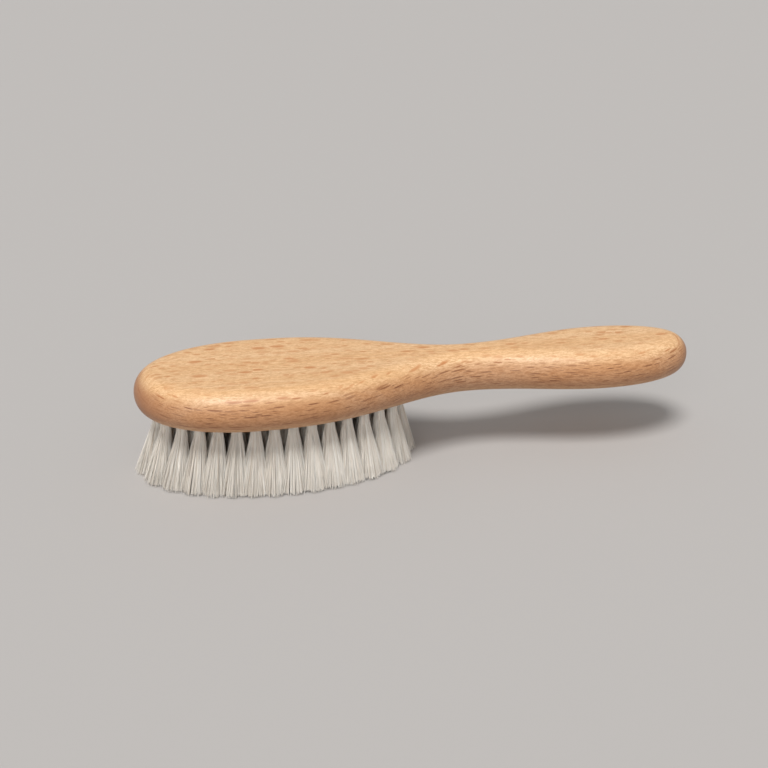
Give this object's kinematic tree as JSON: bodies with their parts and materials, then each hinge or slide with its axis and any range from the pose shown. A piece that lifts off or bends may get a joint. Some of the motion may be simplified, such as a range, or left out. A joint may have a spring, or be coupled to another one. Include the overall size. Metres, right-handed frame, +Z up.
{
  "type": "clothes brush",
  "caption": "Small hand brush: flat rounded beech body with an oval head, a waisted neck and a plain grip, and soft flared hair tufts anchored in blind bores.",
  "frame": {"origin": "on the surface that the hair tips stand on, under the middle of the body's length and width", "axes": "+X along the brush towards the end of the grip, +Y across it, +Z up out of the flat back"},
  "size_m": [0.17, 0.0466, 0.0325],
  "materials": {
    "beech": "oiled and waxed, satin",
    "goat_hair": "natural off-white goat hair, soft matt sheen",
    "anchor_wire": "bright drawn flat wire"
  },
  "bodies": {
    "root": {"wooden_body": "beech", "wire_anchors": "anchor_wire", "outer_tuft_01": "goat_hair", "outer_tuft_02": "goat_hair", "outer_tuft_03": "goat_hair", "outer_tuft_04": "goat_hair", "outer_tuft_05": "goat_hair", "outer_tuft_06": "goat_hair", "outer_tuft_07": "goat_hair", "outer_tuft_08": "goat_hair", "outer_tuft_09": "goat_hair", "outer_tuft_10": "goat_hair", "outer_tuft_11": "goat_hair", "outer_tuft_12": "goat_hair", "outer_tuft_13": "goat_hair", "outer_tuft_14": "goat_hair", "outer_tuft_15": "goat_hair", "outer_tuft_16": "goat_hair", "outer_tuft_17": "goat_hair", "outer_tuft_18": "goat_hair", "outer_tuft_19": "goat_hair", "outer_tuft_20": "goat_hair", "outer_tuft_21": "goat_hair", "outer_tuft_22": "goat_hair", "outer_tuft_23": "goat_hair", "outer_tuft_24": "goat_hair", "outer_tuft_25": "goat_hair", "outer_tuft_26": "goat_hair", "outer_tuft_27": "goat_hair", "outer_tuft_28": "goat_hair", "outer_tuft_29": "goat_hair", "outer_tuft_30": "goat_hair", "middle_tuft_01": "goat_hair", "middle_tuft_02": "goat_hair", "middle_tuft_03": "goat_hair", "middle_tuft_04": "goat_hair", "middle_tuft_05": "goat_hair", "middle_tuft_06": "goat_hair", "middle_tuft_07": "goat_hair", "middle_tuft_08": "goat_hair", "middle_tuft_09": "goat_hair", "middle_tuft_10": "goat_hair", "middle_tuft_11": "goat_hair", "middle_tuft_12": "goat_hair", "middle_tuft_13": "goat_hair", "middle_tuft_14": "goat_hair", "middle_tuft_15": "goat_hair", "middle_tuft_16": "goat_hair", "middle_tuft_17": "goat_hair", "middle_tuft_18": "goat_hair", "middle_tuft_19": "goat_hair", "middle_tuft_20": "goat_hair", "centre_tuft_01": "goat_hair", "centre_tuft_02": "goat_hair", "centre_tuft_03": "goat_hair", "centre_tuft_04": "goat_hair", "centre_tuft_05": "goat_hair", "centre_tuft_06": "goat_hair", "centre_tuft_07": "goat_hair"}
  },
  "joints": []
}
